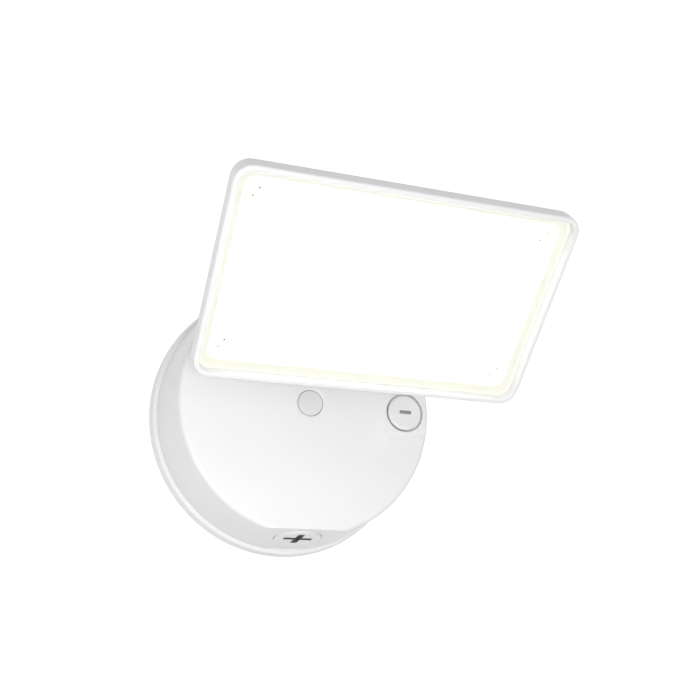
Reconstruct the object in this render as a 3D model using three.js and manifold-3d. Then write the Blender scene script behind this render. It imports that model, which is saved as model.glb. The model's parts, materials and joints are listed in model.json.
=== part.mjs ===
// Wall floodlight: a round canopy on the wall and one flat lamp head on a swivelling, tilting arm.
// Millimetres, +Z up, +X to the viewer's right. The wall is the plane Y = 0 and the lamp stands out
// towards -Y, so "depth" below always means the distance out from the wall, -Y.
import * as THREE from 'three';
import { mergeVertices } from 'three/addons/utils/BufferGeometryUtils.js';
import Module from 'manifold-3d';

const wasm = await Module();
wasm.setup();

// ---------------------------------------------------------------- driving dimensions

const CLEAR = 0.3;                // gap between neighbouring pieces
const PAST = 1;                   // how far a cutter runs past the face it opens

// Canopy, a drum on the Y axis
const BASE_R = 63.5;              // base flange at the wall: a 127 mm canopy
const LIP_R = 62.5;               // front edge of that flange
const LIP_DEPTH = 7.2;
const SIDE_R = 60.9;              // drum side where it meets the flange
const SIDE_DEPTH = 8.2;
const FACE_R = 57.9;              // drum radius where the front edge starts to round
const DRUM_DEPTH = 41.7;          // wall to the rim of the domed front
const DOME = 2;                   // rise of the front in the middle
const EDGE_R = 2.1;               // rounded front edge
const WALL = 3;                   // casting thickness of the front
const INSIDE_R = 58.3;            // inside of the drum at the wall
const INSIDE_FACE_R = 53.8;       // inside of the drum at the front
const GASKET = 2;                 // foam ring on the wall
const FACE_DEPTH = DRUM_DEPTH + DOME;

// Facet underneath, with the threaded plug
const FACET_TILT = 9.5;           // degrees, rising towards the front
const FACET_DEPTH = 27.8;         // depth and drop of the plug's centre on the facet
const FACET_DROP = 57.1;
const PLUG_R = 10.4;
const PLUG_FLANGE = 1.3;          // flange thickness inside the facet
const PLUG_PROUD = 0.5;           // and how far it stands out
const PLUG_SEAT = 2.4;            // depth of its recess
const PLUG_STEM_R = 8;
const CROSS = { long: 6.5, wide: 1.2, deep: 1.2 };

// Square pad at 3 o'clock, with the slotted cap
const PAD = { x: 45.3, z: -0.6, wide: 21, tall: 20, corner: 2.5, depth: 43.8 };
const SIDE_CAP = { radius: 8.1, proud: 0.5, back: 42, stem: 6, stemEnd: 34, slotWide: 5.8, slotTall: 1.5 };
const SIDE_PORT = { radius: 8.9, seat: 40.6, hole: 6.3 };

// Bolt through the middle, from the front to the wall bar
const CENTRE_CAP_R = 5.65;
const CENTRE_CAP_BACK = 40.8;
const BOLT_R = 2.4;
const BOLT_HEAD = { radius: 4.3, front: 40.5, back: 36.1, socket: 4, socketEnd: 38.2 };
const BOLT_POST = { wide: 9, shoulder: 30.5, narrow: 7, end: 6, recess: 34.3 };

// Wall bar
const BAR = { wide: 108, tall: 20, corner: 4, boss: 5, bossDepth: 5, slotWide: 10, slotTall: 5 };
const BAR_SLOTS = [-43, -28, 28, 43];
const EARTH = { x: -16, hole: 1.9, head: 4, shank: 1.6, front: 4.6, back: 2.3 };

// Driver board on two posts in the lower half of the canopy
const BOARD = { wide: 68, tall: 29.5, corner: 2, z: -26.25, front: 15.9, back: 14.3 };
const BOARD_SCREW = { x: 29, z: -16, head: 2.8, shank: 1.2, hole: 1.7, post: 3.2, pilot: 1.5 };
const PARTS_FOOT = -16.2;         // Y of the feet of the parts on the board

// Swivel hub and knuckle
const HUB_Z = 39.4;               // swivel axis above the canopy's middle
const HUB_R = 15;
const HUB_DEPTH = 45.2;           // front of the raised hub ring
const STEM_R = 8.05;
const STEM_END = 30;
const LEAD_R = 4.5;               // lead hole through the stem
const OUTLET_R = 3;               // where the lead leaves on top of the neck
const OUTLET_DEPTH = 53;
const PLATE_R = 13.5;             // round plate over the hub
const PLATE_FRONT = 49;
const PLATE_BACK = 46.8;
const NECK_TALL = 20;
const PIVOT_DEPTH = 62.6;         // tilt axis out from the wall
const KNUCKLE_R = 13;
const PIN_R = 3.9;
const PIN_HEAD_R = 5.6;
const HEAD_POCKET_R = 6.4;        // pocket for the bolt's head and washer
const ARM_LEFT = -7;
const ARM_RIGHT = 6.3;
const EAR_LEFT = 8.1;
const EAR_RIGHT = 20.5;
const NUT_FLATS = 13;
const NUT_LEFT = 15.9;

// Head, in its own frame: the tilt axis is the origin and the lit side faces -Y
const REST_TILT = 45.7;           // degrees that the lit side is tipped down
const HEAD_X = (EAR_LEFT + EAR_RIGHT) / 2;
const RIM_WIDE = 146.5;
const RIM_TALL = 90.9;
const RIM_CORNER = 7.5;
const RIM_EDGE = 2.4;             // width of the rim around the lens
const RIM_Y = -31;                // plane of the rim, in front of the tilt axis
const HEAD_Z = 22;                // head's middle above the tilt axis
const BODY = { wide: 137, tall: 81.4, corner: 9, front: 4.5, back: 16.5, round: 4 };
const CAVITY = { wide: 130, tall: 74.5, corner: 4, back: 14.3 };
const FLANGE_BACK = 8.4;          // back of the wide rim, behind the rim's plane
const SHELF = 7.4;                // shelf that the lens gasket rests on
const LENS_WIDE = RIM_WIDE - 2 * RIM_EDGE - 2 * CLEAR;
const LENS_TALL = RIM_TALL - 2 * RIM_EDGE - 2 * CLEAR;
const LENS_CORNER = 4.7;
const LENS_SET_BACK = 4.3;
const LENS_BACK = 6.3;
const PANEL = { wide: 129, tall: 73.5, corner: 3.5, front: 9.2, back: 10.4 };
const PANEL_SCREW = { x: 62, z: 33, front: 7.9, head: 2.7, shank: 1.1, hole: 1.7, pilot: 1.4, post: 3.4 };
const GUIDE = { wide: 116, tall: 61.6, corner: 1, front: 10.7, back: 13.2 };
const FINS = { long: 66, half: 1.1, from: 38, step: 6, count: 5, front: 15, back: 23.5 };
const CHIPS = { count: 10, pitch: 11, half: 1.5, front: 11, back: 13 };
const GLAND = { x: -14.3, z: 12, hole: 4.3, bore: 2.3 };

// ---------------------------------------------------------------- solids

// A closed solid from any closed geometry, with its faces turned outwards
function solid(geometry) {
  const bare = geometry.index ? geometry.toNonIndexed() : geometry.clone();
  bare.deleteAttribute('normal');
  bare.deleteAttribute('uv');
  const merged = mergeVertices(bare, 1e-4);
  const at = merged.attributes.position.array;
  const corner = (i) => new THREE.Vector3(at[3 * i], at[3 * i + 1], at[3 * i + 2]);
  const faces = [];
  let volume = 0;
  for (let i = 0; i < merged.index.count; i += 3) {
    const [a, b, c] = [0, 1, 2].map((k) => merged.index.getX(i + k));
    if (a !== b && b !== c && c !== a) {
      faces.push([a, b, c]);
      volume += corner(a).dot(corner(b).cross(corner(c)));
    }
  }
  const outward = volume > 0 ? faces : faces.map(([a, b, c]) => [a, c, b]);
  return new wasm.Manifold(new wasm.Mesh({
    numProp: 3,
    vertProperties: new Float32Array(at),
    triVerts: new Uint32Array(outward.flat()),
  }));
}

function geometryOf(body) {
  const { vertProperties, triVerts } = body.getMesh();
  const geometry = new THREE.BufferGeometry();
  geometry.setAttribute('position', new THREE.BufferAttribute(vertProperties, 3));
  geometry.setIndex(new THREE.BufferAttribute(triVerts, 1));
  return geometry;
}

const joined = (...bodies) => bodies.reduce((whole, body) => whole.add(body));
const without = (body, ...cuts) => cuts.reduce((whole, cut) => whole.subtract(cut), body);

// Box between two corners
function block(x0, x1, y0, y1, z0, z1) {
  const box = new THREE.BoxGeometry(x1 - x0, y1 - y0, z1 - z0);
  box.translate((x0 + x1) / 2, (y0 + y1) / 2, (z0 + z1) / 2);
  return solid(box);
}

// Round bar along X, from x0 to x1
function rodX(radius, x0, x1, y, z, sides = 24) {
  const rod = new THREE.CylinderGeometry(radius, radius, x1 - x0, sides);
  rod.rotateZ(Math.PI / 2);
  rod.translate((x0 + x1) / 2, y, z);
  return solid(rod);
}

// Round bar along Y, from y0 to y1
function rodY(radius, y0, y1, x = 0, z = 0, sides = 24) {
  const rod = new THREE.CylinderGeometry(radius, radius, y1 - y0, sides);
  rod.translate(x, (y0 + y1) / 2, z);
  return solid(rod);
}

// Ring on the Y axis
function ringY(inner, outer, y0, y1, x = 0, z = 0, sides = 24) {
  return without(rodY(outer, y0, y1, x, z, sides), rodY(inner, y0 - 1, y1 + 1, x, z, sides));
}

// Profile of [radius, y] points turned about the Y axis
function turned(profile, sides) {
  return solid(new THREE.LatheGeometry(profile.map(([r, y]) => new THREE.Vector2(r, y)), sides));
}

function roundedRectangle(wide, tall, corner) {
  const [a, b] = [wide / 2 - corner, tall / 2 - corner];
  const shape = new THREE.Shape();
  shape.absarc(a, b, corner, 0, Math.PI / 2);
  shape.absarc(-a, b, corner, Math.PI / 2, Math.PI);
  shape.absarc(-a, -b, corner, Math.PI, 1.5 * Math.PI);
  shape.absarc(a, -b, corner, 1.5 * Math.PI, 2 * Math.PI);
  shape.closePath();
  return shape;
}

// Rounded rectangle in X and Z, from y0 to y1, its end edges cut back by a bevel
function slab(wide, tall, corner, y0, y1, x = 0, z = 0, bevel = 0) {
  const shape = roundedRectangle(wide - 2 * bevel, tall - 2 * bevel, corner - bevel);
  const plate = new THREE.ExtrudeGeometry(shape, {
    depth: y1 - y0 - 2 * bevel,
    curveSegments: 4,
    bevelEnabled: bevel > 0,
    bevelSize: bevel,
    bevelThickness: bevel,
    bevelSegments: bevel > 1 ? 2 : 1,
  });
  plate.rotateX(Math.PI / 2);
  plate.translate(x, y1 - bevel, z);
  return solid(plate);
}

// Hexagonal nut about the Y axis
function hexY(flats, y0, y1, x = 0, z = 0) {
  return rodY(flats / Math.sqrt(3), y0, y1, x, z, 6);
}

// ---------------------------------------------------------------- scene

const WHITE = 0xf0f0f0;
const STEEL = 0xb9bcc0;
const RUBBER = 0x3a3a3c;
const product = new THREE.Group();
const arm = new THREE.Group();
const head = new THREE.Group();
product.add(arm, head);
head.position.set(0, -PIVOT_DEPTH, HUB_Z);
head.rotation.x = THREE.MathUtils.degToRad(REST_TILT);

function place(group, name, body, color, roughness = 0.5, metalness = 0) {
  const material = new THREE.MeshStandardMaterial({ color, roughness, metalness });
  const mesh = new THREE.Mesh(geometryOf(body), material);
  mesh.name = name;
  group.add(mesh);
}

// ---------------------------------------------------------------- canopy

// Points of an arc from one angle to another, both included
function arc(r, y, radius, from, to, steps) {
  return Array.from({ length: steps + 1 }, (_, i) => {
    const angle = from + (to - from) * i / steps;
    return [r + radius * Math.cos(angle), y + radius * Math.sin(angle)];
  });
}

// Domed front from radius r to the middle, the rim at the given depth
function dome(r, depth, rise, steps) {
  return Array.from({ length: steps + 1 }, (_, i) => {
    const at = r * (1 - i / steps);
    return [at, -depth - rise * (1 - (at / r) ** 2)];
  });
}

function drumShell() {
  const back = -GASKET - CLEAR;
  const edge = arc(FACE_R - EDGE_R, -DRUM_DEPTH + EDGE_R, EDGE_R, -0.09, -Math.PI / 2, 3);
  const inside = dome(INSIDE_FACE_R, DRUM_DEPTH - WALL, DOME, 2).reverse();
  return turned([
    ...inside,
    [INSIDE_R, -SIDE_DEPTH],
    [INSIDE_R, back],
    [BASE_R, back],
    [LIP_R, -LIP_DEPTH],
    [SIDE_R, -SIDE_DEPTH],
    ...edge,
    ...dome(FACE_R - EDGE_R, DRUM_DEPTH, DOME, 3).slice(1),
  ], 72);
}

// A solid drawn standing on the facet, its outward direction -Z, moved to the plug's place
function onFacet(body) {
  return body.rotate([-FACET_TILT, 0, 0]).translate([0, -FACET_DEPTH, -FACET_DROP]);
}

const drop = (radius, z0, z1) => rodY(radius, z0, z1).rotate([90, 0, 0]);
const atHub = (radius, front, back, sides) => rodY(radius, -front, -back, 0, HUB_Z, sides);
const boardScrewPlaces = [-BOARD_SCREW.x, BOARD_SCREW.x];

function canopyHousing() {
  const { post, pilot, z } = BOARD_SCREW;
  const boardPosts = boardScrewPlaces.map((x) => rodY(post, -40, PARTS_FOOT, x, z, 16));
  const pilots = boardScrewPlaces.map((x) => rodY(pilot, -23, PARTS_FOOT + 0.2, x, z, 12));
  const pad = slab(PAD.wide, PAD.tall, PAD.corner, -PAD.depth, -36, PAD.x, PAD.z, 0.6);
  const facetInside = block(-14, 14, -39, -13, -57.5, -51.5);
  const belowFacet = onFacet(block(-40, 40, -30, FACET_DEPTH - SIDE_DEPTH - CLEAR, -20, 0));
  const outside = DRUM_DEPTH + 8.3;
  return without(
    joined(
      drumShell(),
      rodY(BOLT_POST.wide, -41, -BOLT_POST.shoulder + 0.5),
      rodY(BOLT_POST.narrow, -BOLT_POST.shoulder - 0.5, -BOLT_POST.end),
      atHub(HUB_R, HUB_DEPTH, 38, 36),
      pad,
      facetInside,
      ...boardPosts,
    ),
    belowFacet,
    onFacet(drop(PLUG_R + CLEAR, -5, PLUG_SEAT)),
    onFacet(drop(PLUG_STEM_R + CLEAR, 0, 12)),
    rodY(CENTRE_CAP_R + CLEAR, -outside, -BOLT_POST.recess, 0, 0, 32),
    rodY(BOLT_R + 0.4, -outside, 0),
    rodY(SIDE_PORT.radius, -outside, -SIDE_PORT.seat, PAD.x, PAD.z, 36),
    rodY(SIDE_PORT.hole, -outside, -STEM_END, PAD.x, PAD.z),
    atHub(STEM_R + CLEAR, outside, STEM_END, 32),
    ...pilots,
  );
}

place(product, 'canopy_housing', canopyHousing(), WHITE, 0.45, 0.1);
place(product, 'wall_gasket', ringY(BASE_R - 4.5, BASE_R - 0.7, -GASKET, 0, 0, 0, 72), 0x55585c, 0.9);

// ---------------------------------------------------------------- wall bar and centre bolt

function mountingBar() {
  const slots = BAR_SLOTS.map((x) => slab(BAR.slotWide, BAR.slotTall, 2.49, -GASKET - PAST, PAST, x, 0));
  return without(
    joined(slab(BAR.wide, BAR.tall, BAR.corner, -GASKET, 0), rodY(BAR.boss, -BAR.bossDepth, -1)),
    ...slots,
    rodY(BOLT_R + CLEAR, -BAR.bossDepth - PAST, PAST),
    rodY(EARTH.hole, -GASKET - PAST, PAST, EARTH.x, 0, 16),
  );
}

function earthScrew() {
  const { x, head, shank, front, back } = EARTH;
  return without(
    joined(rodY(head, -front, -back, x, 0, 20), rodY(shank, -3, -CLEAR, x, 0, 16)),
    block(x - 3, x + 3, -front - PAST, -3.9, -0.5, 0.5),
  );
}

function centreBolt() {
  const { radius, front, back, socket, socketEnd } = BOLT_HEAD;
  return without(
    joined(rodY(radius, -front, -back), rodY(BOLT_R, -37, -0.4)),
    hexY(socket, -front - PAST, -socketEnd),
  );
}

place(product, 'mounting_bar', mountingBar(), STEEL, 0.4, 0.9);
place(product, 'ground_screw', earthScrew(), 0x2f8f4e, 0.4, 0.6);
place(product, 'centre_bolt', centreBolt(), STEEL, 0.35, 0.9);
place(product, 'bolt_seal', ringY(BOLT_R + CLEAR, 5.4, -35.8, -34.6), RUBBER, 0.9);
place(product, 'centre_cap', turned([
  [0, -CENTRE_CAP_BACK],
  [CENTRE_CAP_R, -CENTRE_CAP_BACK],
  [CENTRE_CAP_R, -FACE_DEPTH + 0.3],
  [CENTRE_CAP_R - 0.4, -FACE_DEPTH],
  [0, -FACE_DEPTH - 0.1],
], 32), WHITE, 0.6);

// ---------------------------------------------------------------- closed ports

// Threaded plug: flange and stem down the -Z side, a cross recess in its outer face
function portPlug() {
  const { long, wide, deep } = CROSS;
  const bars = [
    block(-long, long, -wide, wide, -PAST, deep),
    block(-wide, wide, -long, long, -PAST, deep),
  ];
  const plug = joined(drop(PLUG_R, -PLUG_PROUD, PLUG_FLANGE), drop(PLUG_STEM_R, 0, 9));
  return onFacet(without(plug, ...bars));
}

function sideCap() {
  const front = -PAD.depth - SIDE_CAP.proud;
  const disc = turned([
    [0, -SIDE_CAP.back],
    [SIDE_CAP.radius, -SIDE_CAP.back],
    [SIDE_CAP.radius, front + 0.5],
    [SIDE_CAP.radius - 0.5, front],
    [0, front],
  ], 36);
  const stem = rodY(SIDE_CAP.stem, -SIDE_CAP.back - PAST, -SIDE_CAP.stemEnd, PAD.x, PAD.z);
  return without(
    joined(disc.translate([PAD.x, 0, PAD.z]), stem),
    slab(SIDE_CAP.slotWide, SIDE_CAP.slotTall, 0.7, front - PAST, front + 1.4, PAD.x, PAD.z),
  );
}

const plugSeal = without(drop(PLUG_R - 0.2, 1.5, 2.1), drop(PLUG_STEM_R + CLEAR, 1, 3));
place(product, 'port_plug', portPlug(), WHITE, 0.5);
place(product, 'port_plug_seal', onFacet(plugSeal), RUBBER, 0.9);
place(product, 'side_cap', sideCap(), 0xd9d9d6, 0.5);
place(product, 'side_cap_seal', ringY(6.3, 8, -41.7, -40.9, PAD.x, PAD.z), RUBBER, 0.9);

// ---------------------------------------------------------------- driver inside the canopy

function driverBoard() {
  const holes = boardScrewPlaces.map((x) => rodY(BOARD_SCREW.hole, -17, -13, x, BOARD_SCREW.z, 16));
  const plate = slab(BOARD.wide, BOARD.tall, BOARD.corner, -BOARD.front, -BOARD.back, 0, BOARD.z);
  return without(plate, ...holes);
}

// Two bobbin flanges with the winding between them
function transformer() {
  const flange = (tall, far) => block(-8, 14, tall, far, -40, -22);
  return joined(
    flange(PARTS_FOOT - 4, PARTS_FOOT),
    block(-4, 10, PARTS_FOOT - 15, PARTS_FOOT - 3, -38, -24),
    flange(PARTS_FOOT - 18, PARTS_FOOT - 14),
  );
}

const capacitor = (radius, tall, x, z) => rodY(radius, PARTS_FOOT - tall, PARTS_FOOT, x, z);

function terminalBlock() {
  const wells = [18.5, 23.5, 28.5].map((x) => block(x - 1.7, x + 1.7, -27, PARTS_FOOT - 3, -41, -33));
  return without(block(16, 31, PARTS_FOOT - 10, PARTS_FOOT, -38, -26), ...wells);
}

function boardScrew(x) {
  const { head, shank, z } = BOARD_SCREW;
  return without(
    joined(rodY(head, -14, -12.2, x, z, 20), rodY(shank, -22, -13, x, z, 12)),
    block(x - 2, x + 2, -13, -12, z - 0.4, z + 0.4),
  );
}

place(product, 'driver_board', driverBoard(), 0x2d6b3f, 0.6);
place(product, 'driver_transformer', transformer(), 0x3b3a30, 0.7);
const choke = ringY(2.5, 6.5, PARTS_FOOT - 6, PARTS_FOOT, -25.5, -33);
place(product, 'driver_choke', choke, 0xb4622d, 0.5, 0.5);
place(product, 'input_capacitor', capacitor(5, 17, -14, -21.5), 0x20222a, 0.5);
place(product, 'output_capacitor', capacitor(4, 12, -14, -35.5), 0x20222a, 0.5);
place(product, 'terminal_block', terminalBlock(), 0xe7e3d4, 0.5);
boardScrewPlaces.forEach((x, i) => {
  place(product, `board_screw_${i + 1}`, boardScrew(x), STEEL, 0.35, 0.9);
});

// ---------------------------------------------------------------- arm

const hubRing = (inner, outer, front, back) => ringY(inner, outer, -front, -back, 0, HUB_Z, 28);
const upAtOutlet = (body) => body.rotate([90, 0, 0]).translate([0, -OUTLET_DEPTH, 0]);

function swivelArm() {
  const armWide = ARM_RIGHT - ARM_LEFT;
  const neckX = (ARM_LEFT + ARM_RIGHT) / 2;
  return without(
    joined(
      atHub(STEM_R, 47, STEM_END, 32),
      atHub(PLATE_R, PLATE_FRONT, PLATE_BACK, 32),
      slab(armWide, NECK_TALL, 3, -PIVOT_DEPTH, -48, neckX, HUB_Z),
      rodX(KNUCKLE_R, ARM_LEFT, ARM_RIGHT, -PIVOT_DEPTH, HUB_Z, 36),
    ),
    atHub(LEAD_R, 55, 20, 24),
    upAtOutlet(rodY(OUTLET_R, HUB_Z, HUB_Z + 20)),
    rodX(PIN_R + CLEAR, -20, 20, -PIVOT_DEPTH, HUB_Z),
    rodX(HEAD_POCKET_R, -20, -2.5, -PIVOT_DEPTH, HUB_Z),
  );
}

function hubLocknut() {
  const hole = atHub(STEM_R + CLEAR, 40, STEM_END, 28);
  return without(hexY(21, -36.2, -31.2, 0, HUB_Z), hole);
}

const grommet = ringY(1.7, OUTLET_R - CLEAR, HUB_Z + 6.2, HUB_Z + 11, 0, 0, 24);
place(arm, 'swivel_arm', swivelArm(), WHITE, 0.45, 0.1);
place(arm, 'hub_seal', hubRing(8.6, 12, 46.5, 45.5), RUBBER, 0.9);
place(arm, 'hub_washer', hubRing(STEM_R + CLEAR, 12, 37.7, 36.5), STEEL, 0.35, 0.9);
place(arm, 'hub_locknut', hubLocknut(), STEEL, 0.35, 0.9);
place(arm, 'arm_grommet', upAtOutlet(grommet), RUBBER, 0.9);

// ---------------------------------------------------------------- knuckle

const onPivot = (inner, outer, x0, x1) => without(
  rodX(outer, x0, x1, -PIVOT_DEPTH, HUB_Z, 28),
  rodX(inner, x0 - PAST, x1 + PAST, -PIVOT_DEPTH, HUB_Z, 28),
);

function knuckleBolt() {
  return without(
    joined(
      rodX(PIN_HEAD_R, -7.9, -3.7, -PIVOT_DEPTH, HUB_Z),
      rodX(PIN_R, -4, 21.6, -PIVOT_DEPTH, HUB_Z),
    ),
    rodX(3, -9.4, -6.4, -PIVOT_DEPTH, HUB_Z, 6),
  );
}

place(arm, 'knuckle_bolt', knuckleBolt(), STEEL, 0.35, 0.9);
place(arm, 'knuckle_washer', onPivot(PIN_R + CLEAR, 6.1, -3.4, -2.8), STEEL, 0.35, 0.9);
place(arm, 'friction_disc', onPivot(PIN_R + CLEAR, 12.4, 6.6, 7.8), RUBBER, 0.8);

// ---------------------------------------------------------------- head, in its own frame

// Rounded plate of the head, its depths counted back from the rim
function headSlab(wide, tall, corner, front, back, bevel = 0) {
  return slab(wide, tall, corner, RIM_Y + front, RIM_Y + back, HEAD_X, HEAD_Z, bevel);
}

function fin(x) {
  const [middle, half] = [HEAD_X + x, FINS.long / 2];
  return block(
    middle - FINS.half, middle + FINS.half,
    RIM_Y + FINS.front, RIM_Y + FINS.back,
    HEAD_Z - half, HEAD_Z + half,
  );
}

function fins() {
  const places = Array.from({ length: FINS.count }, (_, i) => FINS.from + i * FINS.step);
  return [...places.map((x) => fin(-x)), ...places.map(fin)];
}

function hexX(flats, x0, x1) {
  return rodX(flats / Math.sqrt(3), x0, x1, 0, 0, 6);
}

const corners = [[-1, 1], [1, 1], [1, -1], [-1, -1]];
const headRod = (radius, front, back, x, z, sides) => (
  rodY(radius, RIM_Y + front, RIM_Y + back, HEAD_X + x, HEAD_Z + z, sides)
);

// Rods of one size at all four panel screws
function atPanelScrews(radius, front, back, sides) {
  return corners.map(([i, k]) => headRod(radius, front, back, i * PANEL_SCREW.x, k * PANEL_SCREW.z, sides));
}

function headHousing() {
  const shell = without(
    joined(
      headSlab(RIM_WIDE, RIM_TALL, RIM_CORNER, 0, FLANGE_BACK, 1.2),
      headSlab(BODY.wide, BODY.tall, BODY.corner, BODY.front, BODY.back, BODY.round),
    ),
    headSlab(RIM_WIDE - 2 * RIM_EDGE, RIM_TALL - 2 * RIM_EDGE, LENS_CORNER + CLEAR, -2, SHELF),
    headSlab(CAVITY.wide, CAVITY.tall, CAVITY.corner, 7, CAVITY.back),
  );
  return without(
    joined(
      shell,
      rodX(KNUCKLE_R, EAR_LEFT, EAR_RIGHT, 0, 0, 36),
      block(EAR_LEFT, EAR_RIGHT, RIM_Y + 15.5, 0, -KNUCKLE_R, KNUCKLE_R),
      ...fins(),
      ...atPanelScrews(PANEL_SCREW.post, GUIDE.front, 15, 16),
    ),
    rodX(PIN_R + CLEAR, 0, 30, 0, 0),
    hexX(NUT_FLATS + 2 * CLEAR, 15.5, 30),
    headRod(GLAND.hole, 14, 20, GLAND.x, GLAND.z, 24),
    ...atPanelScrews(PANEL_SCREW.pilot, 10, 14.8, 12),
  );
}

const knuckleNut = without(hexX(NUT_FLATS, NUT_LEFT, NUT_LEFT + 5), rodX(PIN_R + CLEAR, 10, 30, 0, 0));
const lens = headSlab(LENS_WIDE, LENS_TALL, LENS_CORNER, LENS_SET_BACK, LENS_BACK, 0.3);
const lensGasket = without(
  headSlab(LENS_WIDE, LENS_TALL, LENS_CORNER, LENS_BACK + CLEAR, SHELF - CLEAR),
  headSlab(130.6, 75, 4, 6, 8),
);
place(head, 'head_housing', headHousing(), WHITE, 0.45, 0.1);
place(head, 'knuckle_nut', knuckleNut, STEEL, 0.35, 0.9);
place(head, 'lens', lens, 0xfdfdf8, 0.2);
place(head, 'lens_gasket', lensGasket, 0xd0d0cc, 0.9);

// ---------------------------------------------------------------- lit parts behind the lens

function diffuserPanel() {
  const plate = headSlab(PANEL.wide, PANEL.tall, PANEL.corner, PANEL.front, PANEL.back);
  return without(plate, ...atPanelScrews(PANEL_SCREW.hole, 8, 12, 16));
}

// Low round head with two small holes for a two-pin driver
function panelScrew(x, z) {
  const holes = [-1, 1].map((k) => headRod(0.5, 7, 8.6, x + k, z + 1.7 * k, 12));
  const [front, back] = [PANEL_SCREW.front, PANEL.front - CLEAR];
  return without(
    joined(
      headRod(PANEL_SCREW.head, front, back, x, z, 20),
      headRod(PANEL_SCREW.shank, back - 0.5, CAVITY.back, x, z, 12),
    ),
    ...holes,
  );
}

// Light strip along a long edge of the guide, its chips facing the guide
function ledStrip(side) {
  const chips = Array.from({ length: CHIPS.count }, (_, i) => {
    const x = HEAD_X + (i - (CHIPS.count - 1) / 2) * CHIPS.pitch;
    const [near, far] = [HEAD_Z + side * 31.1, HEAD_Z + side * 31.9];
    return block(
      x - CHIPS.half, x + CHIPS.half,
      RIM_Y + CHIPS.front, RIM_Y + CHIPS.back,
      Math.min(near, far), Math.max(near, far),
    );
  });
  const [inner, outer] = [HEAD_Z + side * 31.7, HEAD_Z + side * 32.9];
  const bar = block(
    HEAD_X - 55, HEAD_X + 55,
    RIM_Y + GUIDE.front + 0.1, RIM_Y + GUIDE.back,
    Math.min(inner, outer), Math.max(inner, outer),
  );
  return joined(bar, ...chips);
}

const guideSlab = (front, back) => headSlab(GUIDE.wide, GUIDE.tall, GUIDE.corner, front, back);
place(head, 'diffuser_panel', diffuserPanel(), 0xfffff4, 0.4);
corners.forEach(([i, k], n) => {
  const screw = panelScrew(i * PANEL_SCREW.x, k * PANEL_SCREW.z);
  place(head, `panel_screw_${n + 1}`, screw, WHITE, 0.5);
});
place(head, 'light_guide', guideSlab(GUIDE.front, GUIDE.back), 0xf4fbff, 0.1);
place(head, 'reflector_sheet', guideSlab(GUIDE.back + CLEAR, 13.9), 0xffffff, 0.7);
place(head, 'led_strip_top', ledStrip(1), 0xf2e9b0, 0.5);
place(head, 'led_strip_bottom', ledStrip(-1), 0xf2e9b0, 0.5);

// ---------------------------------------------------------------- cable gland on the head's back

const glandRod = (radius, front, back, sides) => headRod(radius, front, back, GLAND.x, GLAND.z, sides);

function glandBody() {
  const thread = glandRod(4, 14.6, 17, 24);
  const flats = glandRod(8, 16.8, 20.5, 6);
  const collar = glandRod(5, 20, 25.5, 24);
  return without(joined(thread, flats, collar), glandRod(GLAND.bore, 10, 40, 20));
}

function glandNut() {
  return without(
    joined(glandRod(7.6, 20.8, 27, 24), glandRod(5.5, 26, 30.5, 24)),
    glandRod(5.3, 20, 25.8, 24),
    glandRod(GLAND.bore, 10, 40, 20),
  );
}

place(head, 'gland_body', glandBody(), 0x6a6c70, 0.6);
place(head, 'gland_nut', glandNut(), 0x6a6c70, 0.6);

export default product;
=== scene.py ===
import json
import math

import bmesh
import bpy
from mathutils import Matrix, Vector


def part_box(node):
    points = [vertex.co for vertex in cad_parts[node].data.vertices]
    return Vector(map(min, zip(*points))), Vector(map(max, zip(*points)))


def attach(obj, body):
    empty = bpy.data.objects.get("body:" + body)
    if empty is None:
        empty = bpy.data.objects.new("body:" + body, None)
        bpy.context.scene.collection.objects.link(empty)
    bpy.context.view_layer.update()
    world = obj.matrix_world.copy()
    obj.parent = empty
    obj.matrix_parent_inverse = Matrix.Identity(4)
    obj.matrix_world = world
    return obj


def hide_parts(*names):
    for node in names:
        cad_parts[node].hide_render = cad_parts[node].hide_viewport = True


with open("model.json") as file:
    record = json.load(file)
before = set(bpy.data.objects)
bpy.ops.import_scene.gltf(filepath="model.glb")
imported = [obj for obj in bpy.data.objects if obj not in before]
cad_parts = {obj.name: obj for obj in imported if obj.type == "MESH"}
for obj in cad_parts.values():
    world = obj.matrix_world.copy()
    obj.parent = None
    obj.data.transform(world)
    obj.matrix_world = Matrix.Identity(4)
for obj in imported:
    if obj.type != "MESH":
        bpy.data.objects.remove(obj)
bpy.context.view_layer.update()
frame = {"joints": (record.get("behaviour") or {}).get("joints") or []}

MM = 0.001


# ---------------------------------------------------------------- places, from the frame

def middle_of(node):
    """Middle of a CAD node's box, in millimetres."""
    low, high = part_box(node)
    return (low + high) / 2 / MM


def joint_place(name):
    """Point on a joint's axis, in millimetres."""
    joint = next(j for j in frame["joints"] if j["name"] == name)
    return Vector(joint["pos_m"]) / MM


REST_TILT = math.radians(45.7)              # of the head, facing down
FACET_TILT = math.radians(9.5)
SEAL_INSIDE_FACET = 1.8
HEAD_FROM_PIVOT = Vector((14.3, -31, 22))   # middle of the rim's front, with the head upright

hub = middle_of("hub_seal")
pad = middle_of("side_cap")
tilt = joint_place("head_tilt")
facet_turn = Matrix.Rotation(-FACET_TILT, 4, "X")
facet = middle_of("port_plug_seal") - facet_turn @ Vector((0, 0, SEAL_INSIDE_FACET))

ROOM = Matrix.Identity(4)
ON_HUB = Matrix.Translation((hub.x, 0, hub.z))
ON_PAD = Matrix.Translation((pad.x, 0, pad.z))
ON_FACET = Matrix.Translation(facet) @ facet_turn
UPWARDS = Matrix.Rotation(math.radians(90), 4, "X")
ACROSS = Matrix.Rotation(math.radians(-90), 4, "Z")
ON_PIVOT = Matrix.Translation((0, tilt.y, tilt.z))
HEAD = ON_PIVOT @ Matrix.Rotation(REST_TILT, 4, "X")
RIM = HEAD @ Matrix.Translation(HEAD_FROM_PIVOT)


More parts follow.
